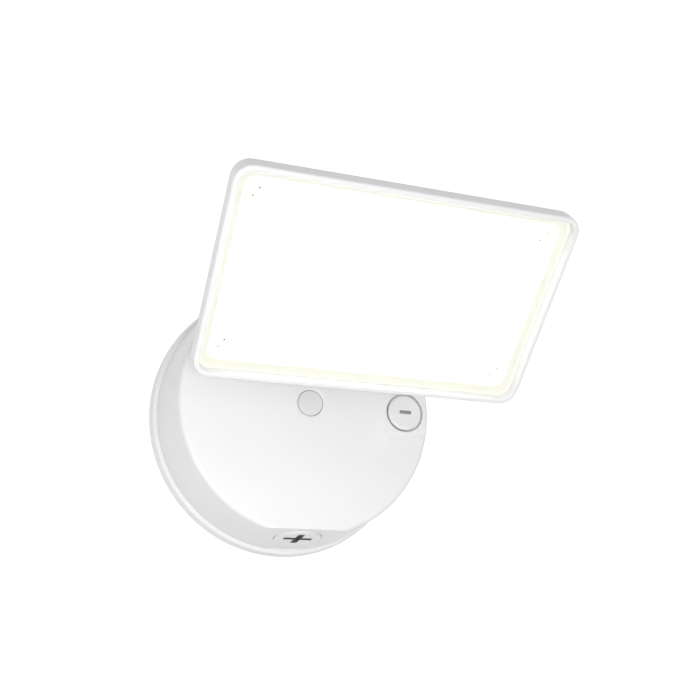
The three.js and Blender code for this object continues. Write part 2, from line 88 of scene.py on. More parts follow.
# ---------------------------------------------------------------- drawing solids

CORNER_STEPS = 6                    # faces round the corner of a rectangle
WELD_SHARE = 0.12                   # points closer than this share of the rounding are merged
ROUNDED_FROM = math.radians(32)     # edges sharper than this are rounded
SHARP_FROM = math.radians(38)       # edges sharper than this show as an edge


def arc(a, b, radius, start, end, steps):
    """Points of an arc about (a, b), its angles in degrees."""
    angles = [math.radians(start + (end - start) * k / steps) for k in range(steps + 1)]
    return [(a + radius * math.cos(t), b + radius * math.sin(t)) for t in angles]


def rounded(outline, steps):
    """A closed outline of (a, b, radius), each corner turned into an arc of its radius."""
    points = []
    for i, (a, b, radius) in enumerate(outline):
        corner = Vector((a, b))
        if radius == 0:
            points.append(corner)
            continue
        following = outline[(i + 1) % len(outline)]
        arriving = (corner - Vector(outline[i - 1][:2])).normalized()
        leaving = (Vector(following[:2]) - corner).normalized()
        turn = math.atan2(arriving.cross(leaving), arriving.dot(leaving))
        centre = corner + (leaving - arriving).normalized() * radius / math.cos(turn / 2)
        start = corner - arriving * radius * math.tan(abs(turn) / 2) - centre
        for k in range(steps + 1):
            points.append(centre + Matrix.Rotation(turn * k / steps, 2) @ start)
    return points


def solid_from(bm):
    """A bmesh as an object, its faces turned outwards."""
    bmesh.ops.recalc_face_normals(bm, faces=bm.faces)
    mesh = bpy.data.meshes.new("solid")
    bm.to_mesh(mesh)
    bm.free()
    body = bpy.data.objects.new("solid", mesh)
    bpy.context.scene.collection.objects.link(body)
    return body


def skinned(loops, closed=False):
    """Solid between loops of points. Unless it is closed on itself, its end loops are capped."""
    bm = bmesh.new()
    rings = [[bm.verts.new(point) for point in loop] for loop in loops]
    following = rings[1:] + rings[:1] if closed else rings[1:]
    for a, b in zip(rings, following):
        count = max(len(a), len(b))
        for s in range(count):
            t = (s + 1) % count
            corners = [a[s % len(a)], a[t % len(a)], b[t % len(b)], b[s % len(b)]]
            corners = list(dict.fromkeys(corners))
            if len(corners) > 2:
                bm.faces.new(corners)
    for cap in [] if closed else [rings[0], rings[-1]]:
        if len(cap) > 2:
            bm.faces.new(cap)
    return solid_from(bm)


def turned(outline, segments, steps=4):
    """An outline of (radius, y, corner radius) turned about the Y axis."""
    loops = []
    for radius, y in rounded(outline, steps):
        if radius < 1e-6:
            loops.append([(0, y, 0)])
            continue
        angles = [math.tau * s / segments for s in range(segments)]
        loops.append([(radius * math.cos(t), y, radius * math.sin(t)) for t in angles])
    return skinned(loops, closed=min(p[0] for p in outline) > 0)


def rod(radius, front, back, edge=0.0, segments=48):
    """Round bar along Y, its ends rounded."""
    return turned([(0, front, 0), (radius, front, edge), (radius, back, edge), (0, back, 0)], segments)


def collar(inner, outer, front, back, edge, segments=48):
    """Ring about the Y axis with rounded edges."""
    return turned([
        (inner, front, edge), (outer, front, edge), (outer, back, edge), (inner, back, edge),
    ], segments)


def rectangle(wide, tall, corner, y):
    """Loop of a rounded rectangle in X and Z."""
    a, b = wide / 2, tall / 2
    outline = [(a, -b, corner), (a, b, corner), (-a, b, corner), (-a, -b, corner)]
    return [(p[0], y, p[1]) for p in rounded(outline, CORNER_STEPS)]


def slab(wide, tall, corner, front, back, edge, x=0.0, z=0.0):
    """Rounded rectangle from front to back in Y, its end edges rounded."""
    section = arc(edge, front + edge, edge, 270, 180, 3)
    section += arc(edge, back - edge, edge, 180, 90, 3)
    loops = []
    for inset, y in section:
        radius = max(corner - inset, 0.05)
        loops.append(rectangle(wide - 2 * inset, tall - 2 * inset, radius, y))
    return moved(skinned(loops), Matrix.Translation((x, 0, z)))


def brick(x0, x1, y0, y1, z0, z1):
    """Plain box between two corners, for cutting."""
    loops = [[(x0, y, z0), (x1, y, z0), (x1, y, z1), (x0, y, z1)] for y in (y0, y1)]
    return skinned(loops)


def hexagon(flats, front, back, chamfer=0.6):
    """Hexagonal prism along Y with its corners turned off at both ends."""
    radius = flats / math.sqrt(3)
    angles = [math.tau * s / 6 for s in range(6)]
    loops = [[(radius * math.cos(t), y, radius * math.sin(t)) for t in angles] for y in (front, back)]
    turning = turned([
        (0, front, 0), (radius - chamfer, front, 0), (radius + 0.1, front + chamfer * 0.7, 0),
        (radius + 0.1, back - chamfer * 0.7, 0), (radius - chamfer, back, 0), (0, back, 0),
    ], 48)
    return combined(skinned(loops), "INTERSECT", turning)


def screw_thread(radius, start, end, pitch, depth):
    """Outline points of a fine thread between two places on the axis."""
    count = max(int(abs(end - start) / pitch), 1)
    step = (end - start) / count
    points = []
    for k in range(count):
        points.append((radius, start + step * (k + 0.25), 0))
        points.append((radius - depth, start + step * (k + 0.75), 0))
    return points


def moved(body, matrix):
    body.data.transform(matrix)
    return body


def settled(body):
    """The object with its modifiers made part of its mesh."""
    graph = bpy.context.evaluated_depsgraph_get()
    mesh = bpy.data.meshes.new_from_object(body.evaluated_get(graph))
    body.modifiers.clear()
    body.data = mesh
    return body


def combined(body, operation, *others):
    """Adds, cuts or intersects the others with the body, which uses them up."""
    for other in others:
        modifier = body.modifiers.new("combine", "BOOLEAN")
        modifier.operation = operation
        modifier.solver = "MANIFOLD"
        modifier.material_mode = "TRANSFER"
        modifier.object = other
        settled(body)
        bpy.data.objects.remove(other)
    return body


def joined(body, *others):
    return combined(body, "UNION", *others)


def without(body, *cutters):
    return combined(body, "DIFFERENCE", *cutters)


def softened(body, width):
    """Rounds the sharp edges that cutting and joining left."""
    weld = body.modifiers.new("weld", "WELD")
    weld.merge_threshold = width * WELD_SHARE
    bevel = body.modifiers.new("bevel", "BEVEL")
    bevel.width = width
    bevel.segments = 2
    bevel.limit_method = "ANGLE"
    bevel.angle_limit = ROUNDED_FROM
    bevel.miter_outer = "MITER_ARC"
    bevel.use_clamp_overlap = True
    return settled(body)


def painted(body, material):
    body.data.materials.clear()
    body.data.materials.append(material)
    return body


def placed(body, name, matrix, material, slot, carrier, *nodes):
    """Names a finished solid, takes it to its place in metres and hangs it on its body."""
    body.name = name
    body.data.name = name
    if not body.data.materials:
        body.data.materials.append(material)
    else:
        body.data.materials[0] = material
    moved(body, Matrix.Scale(MM, 4) @ matrix)
    body.data.shade_smooth()
    body.data.set_sharp_from_angle(angle=SHARP_FROM)
    weighting = body.modifiers.new("weighted normals", "WEIGHTED_NORMAL")
    weighting.keep_sharp = True
    settled(body)
    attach(body, carrier)
    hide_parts(*nodes)


# ---------------------------------------------------------------- finishes

class Finish:
    """A material being built: its Principled shader, and textures in the object's own space."""

    def __init__(self, name, colour, roughness, metallic=0.0):
        self.material = bpy.data.materials.new(name)
        self.material.use_nodes = True
        self.tree = self.material.node_tree
        self.tree.nodes.clear()
        output = self.tree.nodes.new("ShaderNodeOutputMaterial")
        self.shader = self.tree.nodes.new("ShaderNodeBsdfPrincipled")
        self.link(self.shader.outputs["BSDF"], output.inputs["Surface"])
        self.place = self.tree.nodes.new("ShaderNodeTexCoord").outputs["Object"]
        self.shader.inputs["Base Color"].default_value = (*colour, 1)
        self.shader.inputs["Roughness"].default_value = roughness
        self.shader.inputs["Metallic"].default_value = metallic

    def link(self, source, target):
        self.tree.links.new(source, target)

    def stretched(self, scale):
        mapping = self.tree.nodes.new("ShaderNodeMapping")
        mapping.inputs["Scale"].default_value = scale
        self.link(self.place, mapping.inputs["Vector"])
        return mapping.outputs["Vector"]

    def noise(self, scale, detail=3.0, place=None):
        texture = self.tree.nodes.new("ShaderNodeTexNoise")
        texture.inputs["Scale"].default_value = scale
        texture.inputs["Detail"].default_value = detail
        self.link(place or self.place, texture.inputs["Vector"])
        return texture.outputs["Fac"]

    def cells(self, scale):
        texture = self.tree.nodes.new("ShaderNodeTexVoronoi")
        texture.inputs["Scale"].default_value = scale
        self.link(self.place, texture.inputs["Vector"])
        return texture.outputs["Distance"]

    def ramp(self, source, stops):
        """Colours along a 0 to 1 source, as (position, colour) stops."""
        node = self.tree.nodes.new("ShaderNodeValToRGB")
        elements = node.color_ramp.elements
        while len(elements) < len(stops):
            elements.new(0.5)
        for element, (position, colour) in zip(elements, stops):
            element.position = position
            element.color = (*colour, 1)
        self.link(source, node.inputs["Fac"])
        return node.outputs["Color"]

    def ranged(self, source, low, high, start=0.3, end=0.7):
        node = self.tree.nodes.new("ShaderNodeMapRange")
        node.inputs["From Min"].default_value = start
        node.inputs["From Max"].default_value = end
        node.inputs["To Min"].default_value = low
        node.inputs["To Max"].default_value = high
        self.link(source, node.inputs["Value"])
        return node.outputs["Result"]

    def coloured(self, source, low, high, start=0.3, end=0.7):
        colour = self.ramp(source, [(start, low), (end, high)])
        self.link(colour, self.shader.inputs["Base Color"])
        return self

    def rough(self, source, low, high):
        self.link(self.ranged(source, low, high), self.shader.inputs["Roughness"])
        return self

    def bumped(self, source, height):
        """Relief of the given height in millimetres, over any relief added before."""
        node = self.tree.nodes.new("ShaderNodeBump")
        node.inputs["Distance"].default_value = height * MM
        node.inputs["Strength"].default_value = 1.0
        self.link(source, node.inputs["Height"])
        before = self.shader.inputs["Normal"].links
        if before:
            self.link(before[0].from_socket, node.inputs["Normal"])
        self.link(node.outputs["Normal"], self.shader.inputs["Normal"])
        return self

    def set(self, name, value):
        self.shader.inputs[name].default_value = value
        return self


def shade(colour, factor):
    return tuple(min(channel * factor, 1.0) for channel in colour)


def coat(name, colour, roughness, grain, height, metallic=0.0, spread=0.02):
    """Even finish: slight colour and gloss changes over broad areas, and a fine surface grain."""
    finish = Finish(name, colour, roughness, metallic)
    broad = finish.noise(45)
    finish.coloured(broad, shade(colour, 1 - spread), shade(colour, 1 + spread))
    finish.rough(finish.noise(160), roughness * 0.88, roughness * 1.12)
    finish.bumped(finish.noise(grain, 2), height)
    return finish


def powder_coat():
    finish = coat("white_powder_coat", (0.75, 0.75, 0.755), 0.42, 750, 0.012, spread=0.008)
    finish.bumped(finish.noise(3200, 2), 0.003)
    return finish.set("Coat Weight", 0.12).set("Coat Roughness", 0.25).material


def moulded(name, colour, roughness):
    finish = coat(name, colour, roughness, 4200, 0.004)
    finish.bumped(finish.noise(260, 1), 0.006)
    return finish.material


def zinc():
    finish = Finish("zinc_plated_steel", (0.62, 0.63, 0.65), 0.3, 1.0)
    streaks = finish.noise(900, 3, finish.stretched((0.08, 1, 1)))
    finish.coloured(finish.noise(60, 2), (0.6, 0.61, 0.635), (0.67, 0.675, 0.69))
    finish.rough(streaks, 0.22, 0.42)
    finish.bumped(streaks, 0.004)
    return finish.material


def earth_green():
    finish = coat("green_passivated_steel", (0.06, 0.33, 0.14), 0.32, 1500, 0.004, 0.7, 0.12)
    return finish.material


def black_rubber():
    finish = coat("black_rubber", (0.028, 0.028, 0.03), 0.78, 2600, 0.012, spread=0.15)
    return finish.set("Sheen Weight", 0.15).material


def foam():
    finish = Finish("grey_closed_cell_foam", (0.16, 0.165, 0.175), 0.92)
    bubbles = finish.cells(1500)
    finish.coloured(bubbles, (0.1, 0.105, 0.11), (0.2, 0.205, 0.215), 0.1, 0.6)
    finish.rough(finish.noise(300), 0.85, 0.97)
    finish.bumped(bubbles, 0.15)
    return finish.material


def silicone(name, colour, glow, strength):
    """Translucent silicone given a painted glow: its emission stands in for the panel's light shining
    through it.
    """
    finish = coat(name, colour, 0.4, 1400, 0.004)
    finish.set("Subsurface Weight", 0.3).set("Subsurface Radius", (0.002, 0.002, 0.0015))
    # painted glow: the emission colour and strength below stand in for light from the panel
    dimmer = shade(glow, 0.97)
    colour = finish.ramp(finish.noise(150), [(0.3, dimmer), (0.7, glow)])
    finish.link(colour, finish.shader.inputs["Emission Color"])
    return finish.set("Emission Strength", strength).material


def clear_cover():
    finish = Finish("clear_polycarbonate", (1.0, 1.0, 0.985), 0.04)
    finish.set("Transmission Weight", 1.0).set("IOR", 1.5)
    finish.rough(finish.noise(90), 0.02, 0.07)
    finish.bumped(finish.noise(120, 1), 0.004)
    return finish.material


def lit_opal():
    """Opal sheet lit from behind, its warmth varying a little from place to place."""
    finish = Finish("lit_opal_acrylic", (0.9, 0.9, 0.86), 0.45)
    spots = finish.noise(1200, 2)
    glow = finish.ramp(finish.noise(20, 1), [(0.3, (1.0, 0.995, 0.93)), (0.7, (1.0, 1.0, 0.955))])
    finish.link(glow, finish.shader.inputs["Emission Color"])
    finish.set("Emission Strength", 8.0)
    finish.rough(spots, 0.4, 0.5)
    finish.bumped(spots, 0.01)
    return finish.material


def guide_acrylic():
    finish = Finish("dotted_light_guide", (0.93, 0.96, 0.97), 0.08)
    dots = finish.cells(520)
    finish.coloured(dots, (0.97, 0.98, 0.98), (0.88, 0.93, 0.95), 0.12, 0.2)
    finish.rough(dots, 0.35, 0.06)
    finish.bumped(dots, 0.02)
    return finish.set("Transmission Weight", 0.6).material


def reflector_film():
    finish = coat("white_reflector_film", (0.9, 0.9, 0.9), 0.55, 1800, 0.006)
    return finish.material


def circuit_green():
    """Solder mask over traces, with the weave of the laminate just showing."""
    finish = Finish("green_circuit_board", (0.02, 0.13, 0.05), 0.35)
    brick_texture = finish.tree.nodes.new("ShaderNodeTexBrick")
    brick_texture.inputs["Scale"].default_value = 160
    brick_texture.inputs["Mortar Size"].default_value = 0.012
    brick_texture.inputs["Color1"].default_value = (0.015, 0.11, 0.04, 1)
    brick_texture.inputs["Color2"].default_value = (0.02, 0.16, 0.06, 1)
    brick_texture.inputs["Mortar"].default_value = (0.05, 0.3, 0.12, 1)
    turned_place = finish.tree.nodes.new("ShaderNodeMapping")
    turned_place.inputs["Rotation"].default_value = (math.radians(90), 0, 0)
    finish.link(finish.place, turned_place.inputs["Vector"])
    finish.link(turned_place.outputs["Vector"], brick_texture.inputs["Vector"])
    finish.link(brick_texture.outputs["Color"], finish.shader.inputs["Base Color"])
    finish.rough(finish.noise(400), 0.28, 0.42)
    finish.bumped(brick_texture.outputs["Fac"], 0.012)
    return finish.material


def enamelled_copper():
    finish = Finish("enamelled_copper_wire", (0.55, 0.2, 0.07), 0.28, 0.85)
    turns = finish.noise(700, 2, finish.stretched((1, 0.2, 1)))
    finish.coloured(turns, (0.42, 0.13, 0.04), (0.68, 0.28, 0.11))
    finish.rough(finish.noise(500), 0.2, 0.36)
    finish.bumped(turns, 0.02)
    return finish.material


def phosphor():
    finish = coat("led_phosphor", (0.85, 0.68, 0.12), 0.5, 2200, 0.01, spread=0.06)
    return finish.material


FINISHES = {
    "white_casting": powder_coat(),
    "white_cap": moulded("white_moulded_cap", (0.74, 0.74, 0.745), 0.4),
    "pearl_cap": moulded("pearl_moulded_cap", (0.66, 0.66, 0.665), 0.45),
    "grey_cap": moulded("light_grey_moulded_cap", (0.73, 0.73, 0.725), 0.38),
    "clear_lens": clear_cover(),
    "lit_panel": lit_opal(),
    "light_guide": guide_acrylic(),
    "reflector": reflector_film(),
    "rubber": black_rubber(),
    "grey_foam": foam(),
    # Painted glow: the gasket band, its lip and the cover screws emit in place of the panel's light
    # reaching them; the lip's dark base colour is covered by its glow.
    "silicone": silicone("silicone_painted_glow", (0.86, 0.84, 0.74), (1.0, 1.0, 0.92), 0.85),
    "nylon_with_painted_glow": silicone("nylon_painted_glow", (0.86, 0.84, 0.74), (1.0, 1.0, 0.93), 0.75),
    "silicone_lip": silicone("silicone_lip_painted_glow", (0.15, 0.15, 0.12), (1.0, 1.0, 0.91), 0.84),
    "steel": zinc(),
    "earth_screw": earth_green(),
    "circuit_board": circuit_green(),
    "copper": enamelled_copper(),
    "black_plastic": moulded("black_plastic", (0.03, 0.03, 0.032), 0.4),
    "ivory_plastic": moulded("ivory_plastic", (0.74, 0.7, 0.58), 0.42),
    "led": phosphor(),
    "grey_plastic": moulded("grey_nylon", (0.16, 0.165, 0.175), 0.5),
    # Painted shade: grey and near-black colours for the walls and floors of the cap's slot, the screw
    # holes and the plug's cross.
    "painted_slot_shade": moulded("painted_slot_shade_grey", (0.31, 0.31, 0.305), 0.5),
    "painted_cross_shade": moulded("painted_cross_shade_grey", (0.09, 0.09, 0.093), 0.45),
}


SHARED_SLOTS = {"nylon_with_painted_glow": "white_cap", "pearl_cap": "white_cap"}


def piece(body, name, matrix, finish, carrier, *nodes):
    """Places a solid in its finish. It works out a slot, the finish's own name unless it shares another's,
    which nothing uses.
    """
    slot = SHARED_SLOTS.get(finish, finish)
    placed(body, name, matrix, FINISHES[finish], slot, carrier, *nodes)


# ---------------------------------------------------------------- canopy

BASE_R = 63.5                       # flange at the wall
SIDE_R = 57.9                       # front end of the tapered side
WALL_R = 58.3                       # cavity at the wall
DRUM_DEPTH = 41.7
DOME, DOME_R = 2.0, 55.8            # rise of the domed front, and its radius
PAD_WIDE, PAD_TALL, PAD_CORNER = 21, 20, 2.5
PAD_DEPTH, PAD_FOOT = 43.8, 38
HUB_RING_R, HUB_FRONT, HUB_BACK = 15, -45.2, -38
STEM_HOLE_R = 8.35
PORT_R = 8.3
CAP_HOLE_R = 6.3
BOARD_FRONT = -16.2                 # where the driver board's parts stand
POSTS = [Matrix.Translation((x, 0, -16)) for x in (-29, 29)]    # of the driver board


def dome_depth(radius):
    """How far the domed front stands out from the wall, at a distance from its middle."""
    return DRUM_DEPTH + DOME * (1 - (radius / DOME_R) ** 2)


def canopy_shell():
    """Open-backed drum: cavity, flange, tapered side and domed front."""
    front = [(radius, -dome_depth(radius), 0) for radius in range(52, 0, -4)]
    return turned([
        (0, -40.7, 0),
        (53.8, -38.7, 2.5),
        (WALL_R, -8.2, 2),
        (WALL_R, -2.3, 0.3),
        (BASE_R, -2.3, 0.4),
        (BASE_R - 1, -7.2, 0.5),
        (BASE_R - 2.6, -8.3, 0.4),
        (SIDE_R, -DRUM_DEPTH + 0.1, 2.1),
        *front,
        (0, -dome_depth(0), 0),
    ], 224, 6)


def pad_boss():
    """Square pad for the side port: it blends into the dome on the left and stands free on the right."""
    def loop(grow, rise):
        points = []
        corner = PAD_CORNER + grow
        edge = rectangle(PAD_WIDE, PAD_TALL, PAD_CORNER, 0)
        spread = rectangle(PAD_WIDE + 2 * grow, PAD_TALL + 2 * grow, corner, 0)
        for (x0, _, z0), (x1, _, z1) in zip(edge, spread):
            free = min(max((x0 - 3) / 6, 0), 1)
            follow = 1 - 0.9 * free if grow > 0 else 1
            x, z = x0 + (x1 - x0) * follow, z0 + (z1 - z0) * follow
            foot = dome_depth(math.hypot(x + pad.x, z + pad.z)) * (1 - free) + PAD_FOOT * free
            points.append((x, -(foot + (PAD_DEPTH - foot) * rise), z))
        return points

    top = [(-0.9, 1), (-0.45, 1)]
    flare = [(0, 0.98), (0.9, 0.9), (2.2, 0.7), (3.8, 0.45), (5.6, 0.22), (7.4, 0.07), (9, 0.0)]
    loops = [loop(grow, rise) for grow, rise in top + flare]
    loops.append([(x, -37, z) for x, _, z in loops[-1]])
    boss = moved(skinned(loops), ON_PAD)
    return combined(boss, "INTERSECT", rod(SIDE_R - 0.3, -50, -30, 0, 224))


def bore(radius, lip, mouth, front, back):
    """Cutter for a hole whose mouth is chamfered by the lip."""
    return turned([
        (0, front, 0), (radius + lip + (mouth - front), front, 0), (radius + lip, mouth, 0),
        (radius, mouth + lip, 0), (radius, back, 0), (0, back, 0),
    ], 64)


def canopy():
    """Drum with its hub ring, pad and posts, cut for the facet, the ports, the bolt and the screws."""
    under_facet = moved(slab(28, 6, 1, -39, -13, 0.4), Matrix.Translation((0, 0, -54.5)))
    bolt_post = [rod(9, -41, -30), rod(7, -31, -6, 0.5)]
    shell = joined(
        canopy_shell(),
        moved(rod(HUB_RING_R, HUB_FRONT, HUB_BACK, 1.0, 96), ON_HUB),
        pad_boss(),
        under_facet,
        *bolt_post,
        *[moved(rod(3.2, -40, BOARD_FRONT, 0.3), post) for post in POSTS],
    )
    return softened(without(shell, *canopy_cutters()), 0.3)


def canopy_cutters():
    """Everything cut out of the canopy, in the order of cutting."""
    beyond_facet = moved(brick(-40, 40, -30, 19.3, -20, 0), ON_FACET)
    plug_seat = moved(bore(10.6, 0.3, -0.02, -1.5, 2.4), ON_FACET @ UPWARDS)
    plug_hole = moved(rod(PORT_R, 0, 12), ON_FACET @ UPWARDS)
    bolt_cap_seat = bore(5.85, 0.3, -dome_depth(0), -45, -34.3)
    bolt_hole = rod(2.8, -50, 0)
    side_cap_seat = moved(bore(8.9, 0.3, -PAD_DEPTH, -45, -41.8), ON_PAD)
    side_seal_seat = moved(rod(8.2, -45, -40.6), ON_PAD)
    side_hole = moved(rod(CAP_HOLE_R, -50, -30), ON_PAD)
    stem_hole = moved(bore(STEM_HOLE_R, 0.8, HUB_FRONT, -47, -30), ON_HUB)
    screw_holes = [moved(rod(1.5, -23, -16), post) for post in POSTS]
    return [
        beyond_facet, plug_seat, plug_hole, bolt_cap_seat, bolt_hole,
        side_cap_seat, side_seal_seat, side_hole, stem_hole, *screw_holes,
    ]


piece(canopy(), "canopy_housing_shell", ROOM, "white_casting", "root", "canopy_housing")
piece(collar(59, 62.8, -2, 0, 0.5, 160), "foam_wall_gasket", ROOM, "grey_foam", "root", "wall_gasket")


# ---------------------------------------------------------------- wall bar and middle bolt

EARTH_HOLE = Matrix.Translation((-16, 0, 0))


def mounting_bar():
    """Stamped bar with two pairs of slots, a threaded boss in the middle and an earth hole."""
    slots = [slab(10, 5, 2.4, -4, 2, 0.1, x) for x in (-43, -28, 28, 43)]
    boss = turned([(0, -5, 0), (5, -5, 0.5), (5, -1.5, 0.8), (7, -1.4, 0), (0, -1, 0)], 48)
    bar = joined(slab(108, 20, 4, -2, 0, 0.3), boss)
    earth_hole = moved(rod(1.9, -3, 1), EARTH_HOLE)
    return softened(without(bar, rod(2.7, -6, 1), earth_hole, *slots), 0.25)


def pan_screw(head_r, head_tall, shank_r, length, recess):
    """Pan-head screw along Y, its seat at 0 and its head towards -Y, with a threaded shank."""
    screw = turned([
        (0, -head_tall, 0),
        (head_r * 0.55, -head_tall * 0.96, 0),
        (head_r, -head_tall * 0.45, min(head_r * 0.2, head_tall * 0.25)),
        (head_r, 0, 0.1),
        (shank_r, 0, 0),
        *screw_thread(shank_r, 0.2, length - shank_r, shank_r * 0.55, shank_r * 0.16),
        (shank_r * 0.5, length, 0),
        (0, length, 0),
    ], 32)
    cuts = [slab(w, t, min(w, t) * 0.3, -head_tall - 1, -head_tall * 0.35, 0.05) for w, t in recess]
    return softened(without(screw, *cuts), 0.06)


def middle_bolt():
    """Socket-head bolt on the canopy's axis, threaded where it enters the bar."""
    head_r, head_front, head_back = 4.3, -40.5, -36.1
    shank_r, end = 2.4, -0.4
    head = turned([
        (0, head_front, 0), (head_r, head_front, 0.5), (head_r, head_back, 0.3), (0, head_back, 0),
    ], 48)
    shank = turned([
        (0, head_back - 0.4, 0),
        (shank_r, head_back - 0.4, 0),
        *screw_thread(shank_r, -12, -1, 0.8, 0.3),
        (1.7, end, 0),
        (0, end, 0),
    ], 48)
    return softened(without(joined(head, shank), hexagon(4, -42, -38.2, 0)), 0.12)


def middle_cap():
    """Press-in cap over the bolt, flush with the domed front."""
    cap_r, back, edge, middle = 5.65, -40.8, -43.68, -43.78
    return turned([(0, back, 0), (cap_r, back, 0.3), (cap_r, edge, 0.35), (0, middle, 0)], 96)


EARTH_SLOT = [(5.6, 1.0)]
DRIVER_CROSS = [(3.4, 0.8), (0.8, 3.4)]

piece(mounting_bar(), "steel_mounting_bar", ROOM, "steel", "root", "mounting_bar")
piece(pan_screw(4, 2.3, 1.6, 2, EARTH_SLOT), "earth_screw",
      EARTH_HOLE @ Matrix.Translation((0, -2.3, 0)), "earth_screw", "root", "ground_screw")
piece(middle_bolt(), "middle_bolt", ROOM, "steel", "root", "centre_bolt")
piece(collar(2.7, 5.4, -35.8, -34.6, 0.4), "middle_bolt_seal", ROOM, "rubber", "root", "bolt_seal")
piece(middle_cap(), "middle_cap", ROOM, "pearl_cap", "root", "centre_cap")


# ---------------------------------------------------------------- closed ports

def with_recess(body, finish, *cutters):
    """Cuts marks into a moulded body, their walls and floor in a darker finish of their own as painted
    shade.
    """
    painted(body, FINISHES["white_cap"])
    for cutter in cutters:
        painted(cutter, FINISHES[finish])
    return without(body, *cutters)


def port_plug():
    """Threaded plug along Y with a faint inner ring and a cross to turn it by, the cross's walls and floor
    painted near-black as shade.
    """
    face, groove, seat, end = -0.5, -0.3, 1.3, 9
    edge_r, thread_r = 10.4, 8
    cross_long, cross_wide = 13, 2.9
    plug = turned([
        (0, face, 0),
        (8.5, face, 0.1),
        (8.7, groove, 0),
        (8.95, groove, 0),
        (9.15, face, 0.1),
        (edge_r, face, 0.45),
        (edge_r, seat, 0.15),
        (thread_r, seat, 0),
        *screw_thread(thread_r, 1.6, 8.4, 1.4, 0.5),
        (7.2, end, 0.3),
        (0, end, 0),
    ], 96)
    bars = [slab(w, t, 0.5, -2, 1.2, 0.1) for w, t in ((cross_long, cross_wide), (cross_wide, cross_long))]
    return softened(with_recess(plug, "painted_cross_shade", *bars), 0.08)


def side_cap():
    """Threaded cap along Y with a bevelled border, a faint inner ring and one slot, the slot's walls and
    floor painted grey as shade.
    """
    front, seat, end = -44.3, -42, -34
    edge_r, thread_r = 8.1, 6
    cap = turned([
        (0, front + 0.08, 0),
        (6.25, front + 0.08, 0.1),
        (6.4, front, 0.05),
        (7.3, front, 0.3),
        (edge_r, front + 0.75, 0.2),
        (edge_r, seat, 0.2),
        (thread_r, seat, 0),
        *screw_thread(thread_r, -41.6, -34.8, 1.2, 0.4),
        (5.4, end, 0.2),
        (0, end, 0),
    ], 96)
    slot = slab(5.8, 1.5, 0.7, -46, front + 1.4, 0.05)
    return softened(with_recess(cap, "painted_slot_shade", slot), 0.06)


piece(port_plug(), "threaded_port_plug", ON_FACET @ UPWARDS, "white_cap", "root", "port_plug")
piece(collar(PORT_R, 10.2, 1.5, 2.1, 0.25, 72), "port_plug_washer", ON_FACET @ UPWARDS,
      "rubber", "root", "port_plug_seal")
piece(side_cap(), "threaded_side_cap", ON_PAD, "grey_cap", "root", "side_cap")
piece(collar(CAP_HOLE_R, 8, -41.7, -40.9, 0.3), "side_cap_washer", ON_PAD, "rubber", "root",
      "side_cap_seal")


# ---------------------------------------------------------------- driver

def on_board(x, z):
    """Place on the front of the driver board."""
    return Matrix.Translation((x, BOARD_FRONT, z))


def driver_board():
    """Board with a hole for each post's screw."""
    holes = [moved(rod(1.7, -17, -13), post) for post in POSTS]
    return softened(without(slab(68, 29.5, 2, -15.9, -14.3, 0.1, 0, -26.25), *holes), 0.08)


def transformer():
    """Two core halves with a grooved, wound middle between them."""
    halves = [slab(22, 18, 1.2, y, y + 4, 0.5) for y in (-18, -4)]
    winding = slab(14, 14, 3.5, -15, -3, 0.3)
    grooves = [rectangle_groove(14, 14, 3.5, y) for y in range(-13, -4, 2)]
    body = joined(*halves, without(winding, *grooves))
    return moved(softened(body, 0.2), Matrix.Translation((3, 0, -31)))


def rectangle_groove(wide, tall, corner, y):
    """Cutter for a shallow groove around a rounded rectangle."""
    outer = [rectangle(wide + 2, tall + 2, corner + 1, at) for at in (y - 0.2, y + 0.2)]
    inner = [rectangle(wide - 0.5, tall - 0.5, corner, at) for at in (y + 0.2, y - 0.2)]
    return skinned(outer + inner, closed=True)


def choke():
    """Ring core wound with wire, the turns standing up as ribs."""
    loops = []
    turns, around = 34, 204
    for s in range(around):
        angle = math.tau * s / around
        swell = 0.16 * abs(math.sin(angle * turns / 2))
        section = rounded([
            (2.68 - swell, -5.8 - swell, 1), (6.32 + swell, -5.8 - swell, 1),
            (6.32 + swell, -0.2 + swell, 1), (2.68 - swell, -0.2 + swell, 1),
        ], 3)
        loops.append([(r * math.cos(angle), y, r * math.sin(angle)) for r, y in section])
    return skinned(loops, closed=True)


def capacitor(radius, tall):
    """Can along Y standing on the board at 0, with a crimped foot and a scored top."""
    can = turned([
        (0, -tall, 0),
        (radius - 0.7, -tall, 0),
        (radius - 0.5, -tall, 0),
        (radius, -tall + 0.5, 0.2),
        (radius, -2.6, 0.2),
        (radius - 0.45, -2.2, 0.2),
        (radius, -1.8, 0.2),
        (radius, 0, 0.2),
        (0, 0, 0),
    ], 48)
    scores = [slab(w, t, 0.1, -tall - 1, -tall + 0.25, 0.02) for w, t in
              ((radius * 1.2, 0.3), (0.3, radius * 1.2))]
    return softened(without(can, *scores), 0.06)


def terminal_block():
    """Three-way block with wire wells in front and screw wells on its lower side."""
    block = moved(slab(15, 12, 0.8, -10, 0, 0.3), on_board(23.5, -32))
    wells = [slab(3.4, 8, 0.4, -12, -3, 0.05, x, -5) for x in (-5, 0, 5)]
    wells = [moved(well, on_board(23.5, -32)) for well in wells]
    return softened(without(block, *wells), 0.12)


